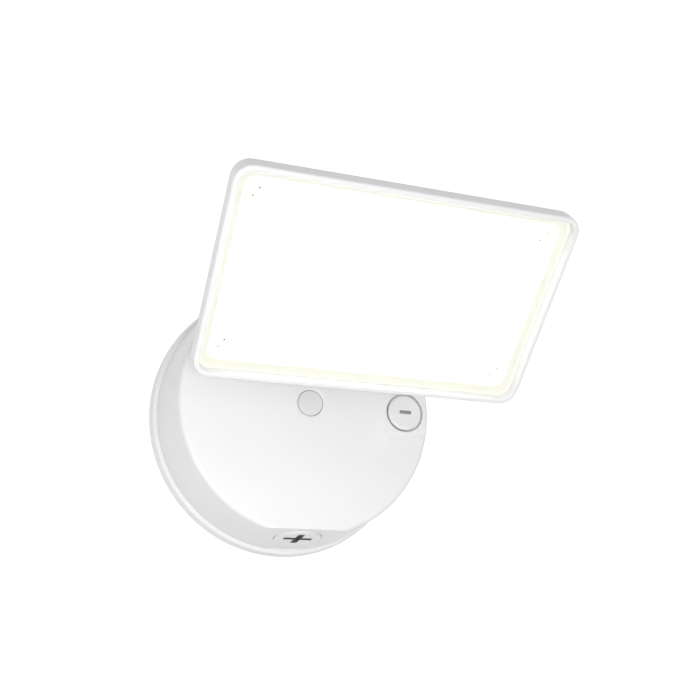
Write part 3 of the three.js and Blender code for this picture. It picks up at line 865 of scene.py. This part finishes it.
piece(driver_board(), "driver_circuit_board", ROOM, "circuit_board", "root", "driver_board")
piece(transformer(), "wound_transformer", on_board(0, 0), "black_plastic", "root", "driver_transformer")
piece(choke(), "wound_choke", on_board(-25.5, -33), "copper", "root", "driver_choke")
piece(capacitor(5, 17), "input_capacitor_can", on_board(-14, -21.5), "black_plastic", "root",
      "input_capacitor")
piece(capacitor(4, 12), "output_capacitor_can", on_board(-14, -35.5), "black_plastic", "root",
      "output_capacitor")
piece(terminal_block(), "supply_terminal_block", ROOM, "ivory_plastic", "root", "terminal_block")
for number, post in enumerate(POSTS, 1):
    piece(pan_screw(2.8, 1.8, 1.2, 7.8, DRIVER_CROSS), f"driver_screw_{number}",
          post @ Matrix.Translation((0, -14, 0)) @ Matrix.Rotation(math.pi, 4, "X"),
          "steel", "root", f"board_screw_{number}")


# ---------------------------------------------------------------- arm and knuckle

ARM_LEFT, ARM_RIGHT = -7, 6.3
EAR_LEFT, EAR_RIGHT = 8.1, 20.5
KNUCKLE_R = 13
PIN_R = 3.9
PIN_HOLE_R = 4.2
LEAD_OUTLET = Matrix.Translation((0, -53, 0))


def across(radius, left, right, edge=0.0):
    """Round bar along X through the tilt axis."""
    return moved(rod(radius, left, right, edge, 72), ON_PIVOT @ ACROSS)


def swivel_arm():
    """Threaded stem, round plate, neck and knuckle in one casting, hollow for the lead."""
    stem_r = 8.05
    stem = turned([
        (0, -47, 0),
        (stem_r, -47, 0),
        *screw_thread(stem_r, -41, -30.8, 1.0, 0.35),
        (7.5, -30, 0.2),
        (0, -30, 0),
    ], 72)
    plate = turned([
        (0, -49, 0), (11, -49, 0.8), (12.9, -49, 0), (13.5, -48.4, 0.3), (13.5, -46.8, 0.3), (0, -46.8, 0),
    ], 96)
    neck = slab(13.3, 20, 3, -62.6, -48, 0.5, (ARM_LEFT + ARM_RIGHT) / 2)
    outlet = moved(rod(3, 0, 20), LEAD_OUTLET @ UPWARDS)
    arm = joined(*[moved(part, ON_HUB) for part in (stem, plate, neck)],
                 across(KNUCKLE_R, ARM_LEFT, ARM_RIGHT, 0.9))
    arm = without(
        arm,
        moved(rod(4.5, -55, -20), ON_HUB),
        moved(outlet, ON_HUB),
        across(PIN_HOLE_R, -20, 20),
        across(6.4, -20, -2.5),
    )
    return softened(arm, 0.3)


def knuckle_pin():
    """Socket-head bolt along Y from the arm's side, threaded at its far end."""
    head_r, head_front, seat, end = 5.6, -7.9, -3.7, 21.6
    pin = turned([
        (0, head_front, 0),
        (head_r, head_front, 0.6),
        (head_r, seat, 0.2),
        (PIN_R, seat, 0),
        (PIN_R, 13, 0.2),
        *screw_thread(PIN_R, 13.4, 21, 1.0, 0.4),
        (PIN_R - 0.8, end, 0),
        (0, end, 0),
    ], 64)
    return softened(without(pin, hexagon(5.2, -9, -6.4, 0)), 0.12)


def nut(flats, hole, front, back):
    """Hexagonal nut along Y, its hole chamfered at both ends."""
    threaded = turned([
        (0, front - 1, 0), (hole + 0.7, front - 1, 0), (hole + 0.7, front, 0), (hole, front + 0.7, 0),
        (hole, back - 0.7, 0), (hole + 0.7, back, 0), (hole + 0.7, back + 1, 0), (0, back + 1, 0),
    ], 64)
    return softened(without(hexagon(flats, front, back), threaded), 0.1)


def friction_disc():
    """Disc along Y with radial grip ridges on both faces."""
    loops = []
    ridges, around = 36, 288
    left, right = 6.78, 7.62
    for s in range(around):
        angle = math.tau * s / around
        rise = 0.09 * (1 + math.cos(angle * ridges))
        section = [
            (PIN_HOLE_R, left), (6, left), (6.6, left - rise), (11.9, left - rise), (12.4, 6.9),
            (12.4, 7.5), (11.9, right + rise), (6.6, right + rise), (6, right), (PIN_HOLE_R, right),
        ]
        loops.append([(r * math.cos(angle), y, r * math.sin(angle)) for r, y in section])
    return skinned(loops, closed=True)


def lead_grommet():
    """Rubber ring for the lead's way out of the arm."""
    return turned([
        (1.7, 6.2, 0.2), (2.7, 6.2, 0.2), (2.7, 10.7, 0), (2.7, 11, 0.2), (1.7, 11, 0.3),
    ], 48)


piece(swivel_arm(), "cast_swivel_arm", ROOM, "white_casting", "arm", "swivel_arm")
piece(collar(8.6, 12, -46.5, -45.5, 0.45, 72), "hub_rubber_seal", ON_HUB, "rubber", "arm", "hub_seal")
piece(collar(STEM_HOLE_R, 12, -37.7, -36.5, 0.2, 72), "hub_flat_washer", ON_HUB, "steel", "arm",
      "hub_washer")
piece(nut(21, STEM_HOLE_R, -36.2, -31.2), "hub_hexagon_nut", ON_HUB, "steel", "arm", "hub_locknut")
piece(lead_grommet(), "lead_grommet", ON_HUB @ LEAD_OUTLET @ UPWARDS, "rubber", "arm", "arm_grommet")
piece(knuckle_pin(), "knuckle_socket_bolt", ON_PIVOT @ ACROSS, "steel", "arm", "knuckle_bolt")
piece(collar(PIN_HOLE_R, 6.1, -3.4, -2.8, 0.15), "knuckle_flat_washer", ON_PIVOT @ ACROSS, "steel", "arm",
      "knuckle_washer")
piece(friction_disc(), "ridged_friction_disc", ON_PIVOT @ ACROSS, "rubber", "arm", "friction_disc")


# ---------------------------------------------------------------- head

RIM_WIDE, RIM_TALL = 146.5, 90.9
BOX_WIDE, BOX_TALL, BOX_FLOOR = 130, 74.5, 14.3
SHELF = 7.4                         # depth of the ledge that carries the gasket
RIM_BACK = 8.4
LENS_WIDE, LENS_TALL, LENS_CORNER = 141.1, 85.5, 4.7
LENS_FRONT, LENS_BACK = 4.3, 6.3
GUIDE_WIDE, GUIDE_TALL = 116, 61.6
SCREW_X, SCREW_Z = 62, 33
CORNERS = [(-1, 1), (1, 1), (1, -1), (-1, -1)]
GLAND = Matrix.Translation((-14.3, 0, 12))


def head_loops():
    """Loops from the floor of the light box, over the rim and down to the back of the head."""
    def rim_corner(inset):
        return 7.5 - 1.04 * inset

    loops = [rectangle(BOX_WIDE, BOX_TALL, 4, depth) for depth in (BOX_FLOOR, SHELF)]
    loops.append(rectangle(RIM_WIDE - 4.8, RIM_TALL - 4.8, 5, SHELF))
    front = arc(1.9, 0.5, 0.5, 0, -90, 4) + arc(1.1, 1.1, 1.1, 270, 180, 6)
    side = arc(0.9, RIM_BACK - 0.9, 0.9, 180, 90, 4)
    for inset, depth in front + side:
        loops.append(rectangle(RIM_WIDE - 2 * inset, RIM_TALL - 2 * inset, rim_corner(inset), depth))
    back = [(4.4, RIM_BACK), (4.62, 8.48), (4.75, 8.8)] + arc(8.75, 12.5, 4, 180, 90, 8)
    for inset, depth in back:
        corner = 13.75 - max(inset, 4.75)
        loops.append(rectangle(RIM_WIDE - 2 * inset, RIM_TALL - 2 * inset, corner, depth))
    return loops


def cooling_fin(x):
    return slab(2.2, 66, 1.0, 15, 23.5, 0.7, x)


def on_screw(i, k):
    """Place of a panel screw, by the signs of its corner."""
    return Matrix.Translation((i * SCREW_X, 0, k * SCREW_Z))


def head_housing():
    """Cast tray with its rim, fins, knuckle ear and screw posts, and holes for the bolt, nut and gland."""
    to_pivot = RIM.inverted() @ ON_PIVOT @ ACROSS
    ear = moved(rod(KNUCKLE_R, EAR_LEFT, EAR_RIGHT, 0.9, 96), to_pivot)
    web = slab(EAR_RIGHT - EAR_LEFT, 2 * KNUCKLE_R, 1.6, 15.5, 31, 0.8)
    web_place = Matrix.Translation((0, 0, -HEAD_FROM_PIVOT.z))
    posts = [moved(rod(3.4, 10.7, 15, 0.3), on_screw(i, k)) for i, k in CORNERS]
    fins = [cooling_fin(side * x) for side in (-1, 1) for x in (38, 44, 50, 56, 62)]
    shell = joined(skinned(head_loops()), ear, moved(web, web_place), *fins, *posts)
    shell = without(
        shell,
        moved(rod(PIN_HOLE_R, 0, 30), to_pivot),
        moved(hexagon(13.6, 15.5, 30, 0), to_pivot),
        moved(rod(4.3, 14, 20), GLAND),
        *[moved(rod(1.4, 10, 14.8), on_screw(i, k)) for i, k in CORNERS],
    )
    return softened(shell, 0.3)


def cover_ring(section):
    """Ring along the border of the cover, from an outline of (inset from its edge, depth)."""
    loops = []
    for inset, depth in section:
        corner = LENS_CORNER - 0.12 * inset
        loops.append(rectangle(LENS_WIDE - 2 * inset, LENS_TALL - 2 * inset, corner, depth))
    return skinned(loops, closed=True)


def lens_gasket():
    """Soft frame under the cover, with a lip round the cover's edge. A painted glow in both stands in for
    the panel's light showing through them.
    """
    band = cover_ring([(3.2, 6.6), (5, 6.6), (5.25, 6.8), (5.25, 6.95), (5.05, 7.1), (3.2, 7.1)])
    lip = cover_ring([(-0.29, 4.1), (-0.19, 4), (0.65, 4), (0.75, 4.1), (0.75, 4.28), (-0.01, 4.28),
                      (-0.01, 6.55), (3.2, 6.6), (3.2, 7.1), (-0.29, 7.1)])
    return joined(painted(band, FINISHES["silicone"]), painted(lip, FINISHES["silicone_lip"]))


def diffuser():
    """Lit panel with a hole at each corner screw."""
    holes = [moved(rod(1.7, 8, 12), on_screw(i, k)) for i, k in CORNERS]
    return softened(without(slab(129, 73.5, 3.5, 9.2, 10.4, 0.15), *holes), 0.06)


def two_hole_screw():
    """White tamper-resistant screw along Y: a low round head with two small holes. The head has a painted
    glow and the holes' walls are painted grey as shade.
    """
    screw = painted(pan_screw(2.7, 1.0, 1.1, 5.4, []), FINISHES["nylon_with_painted_glow"])
    holes = []
    for side in (-1, 1):
        hole = painted(rod(0.5, -2, -0.25), FINISHES["painted_slot_shade"])
        holes.append(moved(hole, Matrix.Translation((side * 1.0, 0, side * 1.7))))
    return without(screw, *holes)


def led_strip(side):
    """Strip along a long edge of the light guide: a white bar with ten lit chips facing the guide."""
    bar = painted(slab(110, 1.2, 0.3, 10.8, 13.2, 0.1, 0, side * 32.3), FINISHES["reflector"])
    chips = []
    for i in range(10):
        chip = slab(3, 0.8, 0.15, 11, 13, 0.1, -49.5 + 11 * i, side * 31.5)
        chips.append(painted(chip, FINISHES["led"]))
    return joined(bar, *chips)


WIRE_R = 2.3


def gland_body():
    """Cable gland along Y: threads at both ends and six flats between them."""
    body = turned([
        (0, 14.6, 0),
        (3.6, 14.6, 0),
        *screw_thread(4, 14.9, 16.6, 0.8, 0.3),
        (4, 17, 0),
        (4, 20.2, 0),
        *screw_thread(5, 20.6, 25, 0.9, 0.35),
        (4.6, 25.5, 0),
        (0, 25.5, 0),
    ], 64)
    return softened(without(joined(body, hexagon(13.86, 16.8, 20.5)), rod(WIRE_R, 10, 40)), 0.1)


def gland_nut():
    """Domed nut with six flats, over the end of the gland."""
    grip = hexagon(13.16, 20.8, 26.8, 0.5)
    dome = turned([
        (0, 26, 0), (6.4, 26, 0), (6.2, 27.6, 1), (4.9, 30.5, 0.8), (0, 30.5, 0),
    ], 64)
    return softened(without(joined(grip, dome), rod(5.3, 20, 25.8), rod(WIRE_R, 10, 40)), 0.15)


piece(head_housing(), "cast_head_housing", RIM, "white_casting", "head", "head_housing")
piece(moved(nut(13, PIN_HOLE_R, 15.9, 20.9), ACROSS), "knuckle_hexagon_nut", ON_PIVOT, "steel", "head",
      "knuckle_nut")
piece(slab(LENS_WIDE, LENS_TALL, LENS_CORNER, LENS_FRONT, LENS_BACK, 0.2), "clear_cover", RIM,
      "clear_lens", "head", "lens")
piece(lens_gasket(), "cover_gasket", RIM, "silicone", "head", "lens_gasket")
piece(diffuser(), "opal_diffuser", RIM, "lit_panel", "head", "diffuser_panel")
piece(slab(GUIDE_WIDE, GUIDE_TALL, 1, 10.7, 13.2, 0.1), "dotted_light_guide", RIM, "light_guide", "head",
      "light_guide")
piece(slab(GUIDE_WIDE, GUIDE_TALL, 1, 13.5, 13.9, 0.05), "white_reflector", RIM, "reflector", "head",
      "reflector_sheet")
for number, (i, k) in enumerate(CORNERS, 1):
    piece(two_hole_screw(), f"diffuser_screw_{number}",
          RIM @ on_screw(i, k) @ Matrix.Translation((0, 8.9, 0)),
          "nylon_with_painted_glow", "head", f"panel_screw_{number}")
for name, side in (("top", 1), ("bottom", -1)):
    piece(led_strip(side), f"{name}_led_strip", RIM, "reflector", "head", f"led_strip_{name}")
piece(gland_body(), "cable_gland_body", RIM @ GLAND, "grey_plastic", "head", "gland_body")
piece(gland_nut(), "cable_gland_nut", RIM @ GLAND, "grey_plastic", "head", "gland_nut")


# ---------------------------------------------------------------- stage, light and camera

def stage_sweep():
    """Floor and back wall in one pale sheet with a rounded corner."""
    wide, front, back, floor, top, bend = 2.5, -2.2, 0.75, -0.62, 2.4, 0.25
    section = [(front, floor)]
    section += arc(back - bend, floor + bend, bend, 270, 360, 12)
    section += [(back, top)]
    bm = bmesh.new()
    left = [bm.verts.new((-wide, y, z)) for y, z in section]
    right = [bm.verts.new((wide, y, z)) for y, z in section]
    for i in range(len(section) - 1):
        bm.faces.new((left[i], right[i], right[i + 1], left[i + 1]))
    sweep = solid_from(bm)
    sweep.name = "studio_sweep"
    sweep.data.shade_smooth()
    finish = Finish("pale_studio_paper", (0.82, 0.82, 0.82), 0.9)
    finish.coloured(finish.noise(6), (0.81, 0.81, 0.81), (0.83, 0.83, 0.83))
    height = finish.tree.nodes.new("ShaderNodeSeparateXYZ")
    finish.link(finish.place, height.inputs["Vector"])
    glow = finish.ranged(height.outputs["Z"], 0.0, 0.55, -0.6, -0.25)
    finish.link(glow, finish.shader.inputs["Emission Strength"])
    finish.set("Emission Color", (1, 1, 1, 1))
    painted(sweep, finish.material)


def area_light(name, place, aim, size, power):
    lamp = bpy.data.lights.new(name, "AREA")
    lamp.shape = "DISK"
    lamp.size = size
    lamp.energy = power
    holder = bpy.data.objects.new(name, lamp)
    holder.location = place
    holder.rotation_mode = "QUATERNION"
    holder.rotation_quaternion = (Vector(aim) - Vector(place)).to_track_quat("-Z", "Y")
    holder.visible_camera = False
    bpy.context.scene.collection.objects.link(holder)


def studio():
    """Pale stage, three soft lamps from the front and below, and an even white surround."""
    stage_sweep()
    aim = (0, -0.04, 0)
    area_light("key", (-0.3, -1.25, -0.55), aim, 0.7, 12.3)
    area_light("near", (-0.1, -0.22, -0.09), (-0.03, -0.05, 0), 0.12, 0.09)
    area_light("front", (0.05, -1.3, -0.1), aim, 0.9, 1)
    world = bpy.data.worlds.new("studio")
    world.use_nodes = True
    background = world.node_tree.nodes["Background"]
    background.inputs["Color"].default_value = (1, 1, 1, 1)
    background.inputs["Strength"].default_value = 0.54
    bpy.context.scene.world = world
    bpy.context.scene.view_settings.view_transform = "Standard"


def camera():
    """Low on the left of the lamp, looking up."""
    azimuth = math.radians(-20.95)
    elevation = math.radians(-16.27)
    distance = 0.46931
    aim = Vector((0.02, -0.04, 0.02737))
    back = Vector((
        math.sin(azimuth) * math.cos(elevation),
        -math.cos(azimuth) * math.cos(elevation),
        math.sin(elevation),
    ))
    data = bpy.data.cameras.new("camera")
    data.sensor_width = 36
    data.lens = 52.8
    data.clip_start = 0.01
    holder = bpy.data.objects.new("camera", data)
    holder.location = aim + back * distance
    holder.rotation_mode = "QUATERNION"
    holder.rotation_quaternion = (-back).to_track_quat("-Z", "Y")
    bpy.context.scene.collection.objects.link(holder)
    bpy.context.scene.camera = holder


studio()
camera()
